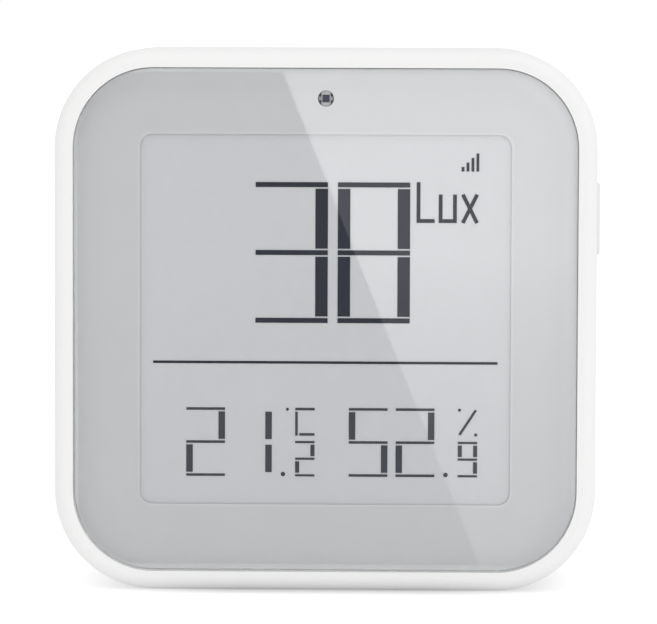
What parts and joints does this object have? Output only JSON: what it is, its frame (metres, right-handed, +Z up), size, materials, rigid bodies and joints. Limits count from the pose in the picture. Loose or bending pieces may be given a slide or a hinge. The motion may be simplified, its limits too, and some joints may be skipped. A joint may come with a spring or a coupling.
{
  "type": "temperature and humidity sensor",
  "caption": "Square desk sensor with a grey segment display behind a glossy lens in a rounded white case, with a side button and a hinged battery door.",
  "frame": {"origin": "on the surface that the sensor stands on, below the middle of the case's width and depth", "axes": "+Z up, the display faces -Y, +X to the viewer's right towards the side button"},
  "size_m": [0.0605, 0.021, 0.06],
  "materials": {
    "white_shell": "fine satin texture",
    "clear_lens": "clear gloss",
    "grey_print": "even grey print seen through the lens",
    "black_tape": "matte adhesive foam tape",
    "display_paper": "matte pale grey display layer",
    "segment_ink": "matte dark grey",
    "display_glass": "clear glass",
    "black_foam": "soft closed-cell foam",
    "amber_ribbon": "polyimide film",
    "green_board": "solder resist",
    "ivory_plastic": "moulded connector body",
    "black_package": "moulded chip package",
    "pale_package": "pale moulded or ceramic chip part",
    "tan_package": "moulded capacitor body",
    "nickel_sheet": "nickel-plated sheet",
    "screw_steel": "zinc-plated steel",
    "cell_sleeve": "printed metal sleeve"
  },
  "bodies": {
    "case": {"front_housing": "white_shell", "rear_cover": "white_shell", "front_lens": "clear_lens", "lens_mask": "grey_print", "lens_tape": "black_tape", "display_film": "display_paper", "display_segments": "segment_ink", "display_glass": "display_glass", "display_foam": "black_foam", "display_ribbon": "amber_ribbon", "main_board": "green_board", "radio_board": "green_board", "ribbon_socket": "ivory_plastic", "controller_chip": "black_package", "climate_sensor": "black_package", "light_sensor_die": "black_package", "switch_body": "black_package", "light_sensor": "pale_package", "chip_parts": "pale_package", "storage_capacitor": "tan_package", "radio_shield": "nickel_sheet", "crystal": "nickel_sheet", "link_contact": "nickel_sheet", "positive_contact": "nickel_sheet", "negative_contact": "nickel_sheet", "board_screws": "screw_steel", "case_screws": "screw_steel", "link_spring": "screw_steel", "negative_spring": "screw_steel", "upper_cell": "cell_sleeve", "lower_cell": "cell_sleeve"},
    "button": {"side_button": "white_shell"},
    "plunger": {"switch_plunger": "white_shell"},
    "door": {"battery_door": "white_shell"}
  },
  "joints": [
    {"name": "button_press", "type": "slide", "parent": "case", "child": "button", "axis": [-1, 0, 0], "range_m": [0, 0.0003], "stiffness_N_per_m": 2500, "springref_m": -0.0002},
    {"name": "switch_press", "type": "slide", "parent": "case", "child": "plunger", "axis": [-1, 0, 0], "range_m": [0, 0.0003]},
    {"name": "door_swing", "type": "hinge", "parent": "case", "child": "door", "pos_m": [0, 0.00965, 0.01375], "axis": [-1, 0, 0], "range_deg": [0, 85]}
  ],
  "couplings": [
    {"joint": "switch_press", "follows": "button_press", "ratio": 1}
  ]
}
